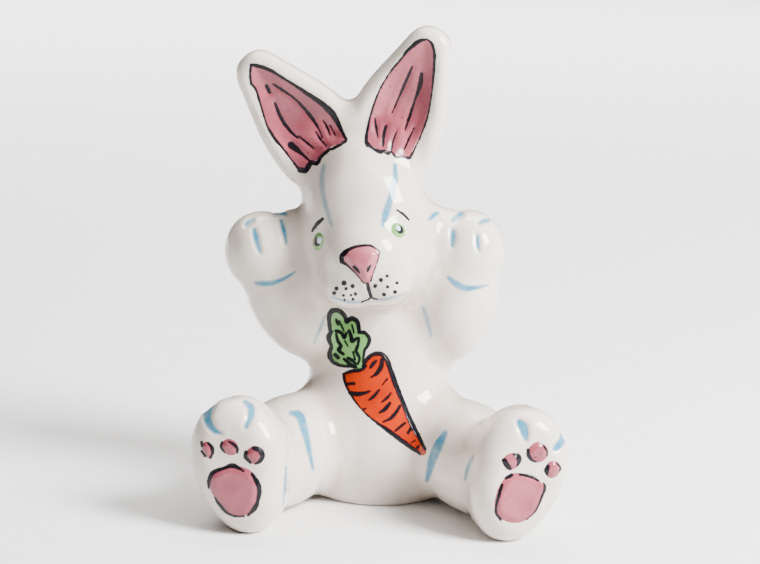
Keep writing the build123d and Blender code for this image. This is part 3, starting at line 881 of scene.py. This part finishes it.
def part_skin(mesh):
    """Parts the skin into a closed piece for each casting."""
    normals = normals_of(mesh)
    form = bmesh.new()
    form.from_mesh(mesh)
    form.faces.ensure_lookup_table()
    owner = nearest_casting(np.array([f.calc_center_median() for f in form.faces]))
    for face in form.faces:
        around = [owner[f.index] for e in face.edges for f in e.link_faces if f != face]
        if around.count(owner[face.index]) <= 1:
            owner[face.index] = max(set(around), key=around.count)
    form.free()
    pieces = {}
    for number, node in enumerate(CASTINGS):
        part = bmesh.new()
        part.from_mesh(mesh)
        part.faces.ensure_lookup_table()
        source = part.verts.layers.int.new("source")
        for vert in part.verts:
            vert[source] = vert.index
        others = [f for f in part.faces if owner[f.index] != number]
        bmesh.ops.delete(part, geom=others, context="FACES")
        cap_borders(part, source)
        piece_mesh = bpy.data.meshes.new(node + "_skin")
        part.verts.index_update()
        kept = [normals[v[source]] if v[source] >= 0 else (0, 0, 1) for v in part.verts]
        part.to_mesh(piece_mesh)
        part.free()
        shade_smooth(piece_mesh)
        piece_mesh.normals_split_custom_set_from_vertices(kept)
        piece_mesh.attributes.remove(piece_mesh.attributes["source"])
        pieces[node] = link(node + "_skin", piece_mesh)
    return pieces


def cap_borders(part, source):
    """Closes each open border of a piece with a fan about the border's middle, inside the figurine."""
    open_edges = [e for e in part.edges if e.is_boundary]
    for border in islands(open_edges, lambda edge: [e for v in edge.verts for e in v.link_edges]):
        verts = {v for e in border for v in e.verts}
        middle = part.verts.new(sum((v.co for v in verts), Vector()) / len(verts))
        middle[source] = -1
        for edge in border:
            loop = edge.link_loops[0]
            start, end = loop.link_loop_next.vert, loop.vert
            part.faces.new((start, end, middle))


# Low reliefs

def rounded_loop(outline):
    """A smooth closed curve through an outline's points, with points at the relief's spacing."""
    knots = np.array(outline, float)
    count = len(knots)
    rows = []
    for i in range(count):
        span = [knots[(i + k) % count] for k in (-1, 0, 1, 2)]
        steps = max(int(np.linalg.norm(span[2] - span[1]) / RELIEF_SPACING), 1)
        rows += [between(*span, k / steps) for k in range(steps)]
    return np.array(rows)


def edge_gap(spots, loop):
    """The distance from each spot to a closed loop."""
    gap = np.full(len(spots), np.inf)
    for start, end in zip(loop, np.roll(loop, -1, 0)):
        gap = np.minimum(gap, line_gap(spots, start, end)[0])
    return gap


def within(spots, loop):
    """Which spots are inside a closed loop."""
    inside = np.zeros(len(spots), bool)
    for (x0, y0), (x1, y1) in zip(loop, np.roll(loop, -1, 0)):
        if y0 == y1:
            continue
        crosses = (spots[:, 1] < y0) != (spots[:, 1] < y1)
        inside ^= crosses & (spots[:, 0] < x0 + (spots[:, 1] - y0) * (x1 - x0) / (y1 - y0))
    return inside


def relief_net(loop):
    """The points and triangles of a flat net that fills a closed loop."""
    low, high = loop.min(0), loop.max(0)
    across, down = np.meshgrid(
        np.arange(low[0], high[0], RELIEF_SPACING), np.arange(low[1], high[1], RELIEF_SPACING * ROW_SHARE)
    )
    across[1::2] += RELIEF_SPACING / 2
    spots = np.stack([across.ravel(), down.ravel()], 1)
    spots = spots[within(spots, loop)]
    spots = spots[edge_gap(spots, loop) > RELIEF_SPACING * RIM_SHARE]
    flat = [Vector(p) for p in np.vstack([loop, spots])]
    corners, _, triangles, *_ = delaunay_2d_cdt(flat, [], [list(range(len(loop)))], 1, SAME_SPOT)
    return np.array([tuple(c) for c in corners]), triangles


def lens_faces(triangles, top, base):
    """A closed lens of faces: its top and its base, numbered from two starts, and the wall between them."""
    faces = []
    edges = []
    for a, b, c in triangles:
        faces.append((top + a, top + c, top + b))
        faces.append((base + a, base + b, base + c))
        edges += [(a, b), (b, c), (c, a)]
    known = set(edges)
    for start, end in edges:
        if (end, start) not in known:
            faces.append((top + start, top + end, base + end, base + start))
    return faces


def relief(name, outlines, height, edge, tree, skin_normals):
    """Low reliefs on the skin inside some outlines, as one mesh of closed lenses.

    They rise to the given height over the given distance from the outline, in pixels."""
    points, faces = [], []
    for outline in outlines:
        loop = rounded_loop(outline)
        places, triangles = relief_net(loop)
        rise = height * smoothstep(0, edge, edge_gap(places, loop))
        top, base = [], []
        for place, lift in zip(places, rise):
            spot, _, face, _ = tree.ray_cast(VIEWPOINT, pixel_ray(place))
            normal = skin_normals[face]
            top.append(spot + normal * (lift - RELIEF_SINK))
            base.append(spot - normal * RELIEF_ROOT)
        faces += lens_faces(triangles, len(points), len(points) + len(top))
        points += top + base
    mesh = bpy.data.meshes.new(name)
    mesh.from_pydata([tuple(p) for p in points], [], faces)
    shade_smooth(mesh)
    form = bmesh.new()
    form.from_mesh(mesh)
    bmesh.ops.recalc_face_normals(form, faces=form.faces)
    form.to_mesh(mesh)
    form.free()
    store(mesh, "ink", ink_depth(to_pixels(points_of(mesh))))
    return link(name, mesh)


def oval(eye):
    """The outline of an eye."""
    x, y, half_width, half_height, lean = eye
    turns = np.linspace(0, 2 * pi, EYE_POINTS, endpoint=False)
    wide = half_width * np.cos(turns)
    high = half_height * np.sin(turns)
    across = x + wide * cos(lean) + high * sin(lean)
    down = y - wide * sin(lean) + high * cos(lean)
    return list(zip(across, down))


def paint_eye(piece, pupil, glint):
    """The pupil and the painted glint of an eye."""
    pixels = to_pixels(points_of(piece.data))
    ink = inside_stroke(pixels, pupil).astype(np.float32)
    piece.data.attributes["ink"].data.foreach_set("value", ink)
    store(piece.data, "glint", inside_stroke(pixels, glint))


# Materials

def add_node(tree, kind, **values):
    """A shader node with some of its settings and inputs set."""
    node = tree.nodes.new(kind)
    for key, value in values.items():
        if key in node.inputs:
            node.inputs[key].default_value = value
        else:
            setattr(node, key, value)
    return node


def feed(tree, socket, value):
    """Links a value to a node's input, or sets a constant on it."""
    if isinstance(value, bpy.types.NodeSocket):
        tree.links.new(value, socket)
    else:
        socket.default_value = value


def mixed(tree, share, under, over):
    """A colour that goes from one to another by a share."""
    node = add_node(tree, "ShaderNodeMix", data_type="RGBA")
    for number, value in zip(MIX_INPUTS, (share, under, over)):
        feed(tree, node.inputs[number], value)
    return node.outputs[MIX_OUTPUT]


def ranged(tree, value, low, high, to_low=0.0, to_high=1.0, smooth=True):
    """A value taken from one range to another."""
    node = add_node(tree, "ShaderNodeMapRange")
    node.interpolation_type = "SMOOTHSTEP" if smooth else "LINEAR"
    tree.links.new(value, node.inputs["Value"])
    for key, number in (("From Min", low), ("From Max", high), ("To Min", to_low), ("To Max", to_high)):
        node.inputs[key].default_value = number
    return node.outputs["Result"]


def calculated(tree, operation, first, second):
    """The result of one sum on two values."""
    node = add_node(tree, "ShaderNodeMath", operation=operation)
    for socket, value in zip(node.inputs, (first, second)):
        feed(tree, socket, value)
    return node.outputs[0]


def noise(tree, place, scale, detail=2.0):
    """Soft noise at a scale."""
    node = add_node(tree, "ShaderNodeTexNoise", Scale=scale, Detail=detail)
    tree.links.new(place, node.inputs["Vector"])
    return node.outputs["Fac"]


def attribute(tree, name):
    """A number that a mesh keeps for each vertex."""
    return add_node(tree, "ShaderNodeAttribute", attribute_name=name).outputs["Fac"]


def new_material(name):
    """A new material, its nodes, its shader and the place on the piece that its patterns follow."""
    material = bpy.data.materials.new(name)
    material.use_nodes = True
    tree = material.node_tree
    place = add_node(tree, "ShaderNodeTexCoord").outputs["Object"]
    return material, tree, tree.nodes["Principled BSDF"], place


def specked(tree, place, strength):
    """How strongly the small round specks show, which come in loose clusters."""
    cells = add_node(tree, "ShaderNodeTexVoronoi", Scale=SPECK_SCALE)
    tree.links.new(place, cells.inputs["Vector"])
    rare = ranged(tree, noise(tree, place, CLUSTER_SCALE), *CLUSTER_RANGE)
    dots = ranged(tree, cells.outputs["Distance"], *SPECK_RANGE, 1.0, 0.0)
    return calculated(tree, "MULTIPLY", calculated(tree, "MULTIPLY", rare, dots), strength)


def blue_washed(tree, place, colour):
    """A colour under a warm, darker tint of painted shade in the crevices, and under the watery blue."""
    # painted shade: the crevices darken towards a warm tint, as far as they were filled
    crevice_shade = calculated(tree, "MULTIPLY", attribute(tree, "pool_shade"), POOL_SHADE_STRENGTH)
    colour = mixed(tree, crevice_shade, colour, POOLED_SHADE_TINT)
    watery = ranged(tree, noise(tree, place, WATER_SCALE), *WATER_RANGE, WATER_THIN, 1.0)
    cover = calculated(tree, "MULTIPLY", attribute(tree, "wash"), watery)
    return mixed(tree, cover, colour, WASH)


def ink_cover(tree, place):
    """How much the ink covers, with a streaky edge and thin spots."""
    streaky = noise(tree, place, STREAK_SCALE, STREAK_DETAIL)
    uneven = ranged(tree, streaky, *STREAK_RANGE, -STREAK_SHIFT, STREAK_SHIFT, smooth=False)
    inked = ranged(tree, calculated(tree, "ADD", attribute(tree, "ink"), uneven), -INK_EDGE, INK_EDGE)
    thin = ranged(tree, noise(tree, place, THIN_SCALE), *THIN_RANGE, THINNEST, 1.0)
    return calculated(tree, "MULTIPLY", inked, thin)


def glaze(name, light, deep, specks, coat=GLOSSY, washed=False, glinting=False):
    """Hand-painted glazed ceramic: uneven ground, specks, blue wash and black ink under a clear coat."""
    material, tree, shader, place = new_material(name)
    cloudy = noise(tree, place, CLOUD_SCALE, CLOUD_DETAIL)
    colour = mixed(tree, ranged(tree, cloudy, *CLOUD_RANGE), light, deep)
    colour = mixed(tree, specked(tree, place, specks), colour, SPECK)
    if washed:
        colour = blue_washed(tree, place, colour)
    inked = ink_cover(tree, place)
    colour = mixed(tree, inked, colour, INK)
    if glinting:
        glint = ranged(tree, attribute(tree, "glint"), -GLINT_EDGE, GLINT_EDGE)
        colour = mixed(tree, glint, colour, GLINT)
    tree.links.new(colour, shader.inputs["Base Color"])
    tree.links.new(ranged(tree, cloudy, *MATT_RANGE, *MATTNESS), shader.inputs["Roughness"])
    bump = add_node(tree, "ShaderNodeBump", Strength=BUMP_STRENGTH, Distance=BUMP_HEIGHT)
    tree.links.new(noise(tree, place, BUMP_SCALE, BUMP_DETAIL), bump.inputs["Height"])
    for normal in ("Normal", "Coat Normal"):
        tree.links.new(bump.outputs["Normal"], shader.inputs[normal])
    shader.inputs["Coat Weight"].default_value = 1.0
    tree.links.new(ranged(tree, inked, 0.0, 1.0, 1.0, INK_COAT), shader.inputs["Coat Weight"])
    shader.inputs["Coat Roughness"].default_value = coat
    shader.inputs["Coat IOR"].default_value = COAT_IOR
    shader.inputs["Specular IOR Level"].default_value = GROUND_SPECULAR
    return material


def dress(piece, material, node, slot):
    """Gives a piece its material, and puts it in the place of a node of the frame."""
    piece.data.materials.clear()
    piece.data.materials.append(material)
    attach(piece, "root")
    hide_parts(node)


# Studio

def add_floor():
    """A pale floor that fills the view."""
    mesh = bpy.data.meshes.new("floor")
    corners = [(x * FLOOR_REACH, y * FLOOR_REACH, 0) for x, y in ((-1, -1), (1, -1), (1, 1), (-1, 1))]
    mesh.from_pydata(corners, [], [(0, 1, 2, 3)])
    floor = link("floor", mesh)
    material, tree, shader, place = new_material("floor_paper")
    tint = mixed(tree, noise(tree, place, FLOOR_GRAIN), FLOOR_LIGHT, FLOOR_DEEP)
    tree.links.new(tint, shader.inputs["Base Color"])
    shader.inputs["Roughness"].default_value = FLOOR_ROUGHNESS
    mesh.materials.append(material)


def add_softbox(name, place, size, power, aim, spread=pi):
    """A rectangular soft light that looks at a point."""
    data = bpy.data.lights.new(name, "AREA")
    data.shape = "RECTANGLE"
    data.size, data.size_y = size
    data.energy = power
    data.spread = spread
    light = bpy.data.objects.new(name, data)
    light.location = place
    light.rotation_euler = (aim - Vector(place)).to_track_quat("-Z", "Y").to_euler()
    bpy.context.scene.collection.objects.link(light)


def add_room():
    """A dim, warm room that is darker on the picture's left and brighter above."""
    world = bpy.data.worlds.new("room")
    bpy.context.scene.world = world
    world.use_nodes = True
    tree = world.node_tree
    background = tree.nodes["Background"]
    background.inputs["Color"].default_value = ROOM_TINT
    sides = add_node(tree, "ShaderNodeSeparateXYZ")
    tree.links.new(add_node(tree, "ShaderNodeTexCoord").outputs["Generated"], sides.inputs[0])
    across = ranged(tree, sides.outputs["X"], *ROOM_SIDES, ROOM_DIM, ROOM_BRIGHT)
    above = ranged(tree, sides.outputs["Z"], *ROOM_HEIGHTS, 1.0, ROOM_ABOVE)
    tree.links.new(calculated(tree, "MULTIPLY", across, above), background.inputs["Strength"])


def add_studio():
    """A floor, a key light from the picture's right, a light on the far floor, and the room."""
    add_floor()
    turn, rise, distance = KEY_ROUND
    key_way = Vector((sin(turn) * cos(rise), -cos(turn) * cos(rise), sin(rise)))
    add_softbox("key", CAMERA_TARGET + key_way * distance, KEY_SIZE, KEY_POWER, CAMERA_TARGET)
    below = Vector(FAR_PLACE) * Vector((1, 1, 0))
    add_softbox("far", FAR_PLACE, FAR_SIZE, FAR_POWER, below, FAR_SPREAD)
    add_room()


# The figurine

add_camera()
add_studio()
skin, skin_tree = make_skin()
vertex_normals = normals_of(skin)
face_normals = [Vector(vertex_normals[list(p.vertices)].mean(0)).normalized() for p in skin.polygons]

white_glaze = glaze("white_glaze", WHITE_LIGHT, WHITE_DEEP, FEW_SPECKS, washed=True)
pink_glaze = glaze("pink_glaze", PINK_LIGHT, PINK_DEEP, MANY_SPECKS)
lining_glaze = glaze("lining_glaze", PINK_LIGHT, PINK_DEEP, MANY_SPECKS, coat=SATIN)
# a lighter copy of the pink, as painted light on the shaded nose
nose_glaze = glaze("nose_glaze", NOSE_LIGHT, NOSE_DEEP, SOME_SPECKS)
orange_glaze = glaze("orange_glaze", ORANGE_LIGHT, ORANGE_DEEP, FEW_SPECKS)
leaf_glaze = glaze("leaf_glaze", LEAF_LIGHT, LEAF_DEEP, FEW_SPECKS)
iris_glaze = glaze("iris_glaze", IRIS_LIGHT, IRIS_DEEP, NO_SPECKS, glinting=True)

for casting, piece in part_skin(skin).items():
    dress(piece, white_glaze, casting, "white_glaze")

RELIEFS = (
    ("right_ear_lining", (RIGHT_LINING,), LINING_HEIGHT, LINING_EDGE, lining_glaze, "pink_glaze"),
    ("left_ear_lining", (LEFT_LINING,), LINING_HEIGHT, LINING_EDGE, lining_glaze, "pink_glaze"),
    ("nose", (NOSE_OUTLINE,), NOSE_HEIGHT, NOSE_EDGE, nose_glaze, "pink_glaze"),
    ("right_sole_pad", (RIGHT_SOLE,), PAD_HEIGHT, SOLE_EDGE, pink_glaze, "pink_glaze"),
    ("left_sole_pad", (LEFT_SOLE,), PAD_HEIGHT, SOLE_EDGE, pink_glaze, "pink_glaze"),
    ("right_toe_pads", RIGHT_TOES, PAD_HEIGHT, TOE_EDGE, pink_glaze, "pink_glaze"),
    ("left_toe_pads", LEFT_TOES, PAD_HEIGHT, TOE_EDGE, pink_glaze, "pink_glaze"),
    ("carrot_root", (ROOT_OUTLINE,), CARROT_HEIGHT, CARROT_EDGE, orange_glaze, "carrot_orange"),
    ("carrot_leaves", (LEAF_OUTLINE,), CARROT_HEIGHT, CARROT_EDGE, leaf_glaze, "leaf_green"),
    ("left_eye", (oval(LEFT_EYE),), EYE_HEIGHT, LEFT_EYE_EDGE, iris_glaze, "eye_green"),
    ("right_eye", (oval(RIGHT_EYE),), EYE_HEIGHT, RIGHT_EYE_EDGE, iris_glaze, "eye_green"),
)
reliefs = {}
for node, outlines, height, edge, material, slot in RELIEFS:
    reliefs[node] = relief(node + "_relief", outlines, height, edge, skin_tree, face_normals)
    dress(reliefs[node], material, node, slot)
paint_eye(reliefs["left_eye"], LEFT_PUPIL, LEFT_GLINT)
paint_eye(reliefs["right_eye"], RIGHT_PUPIL, RIGHT_GLINT)
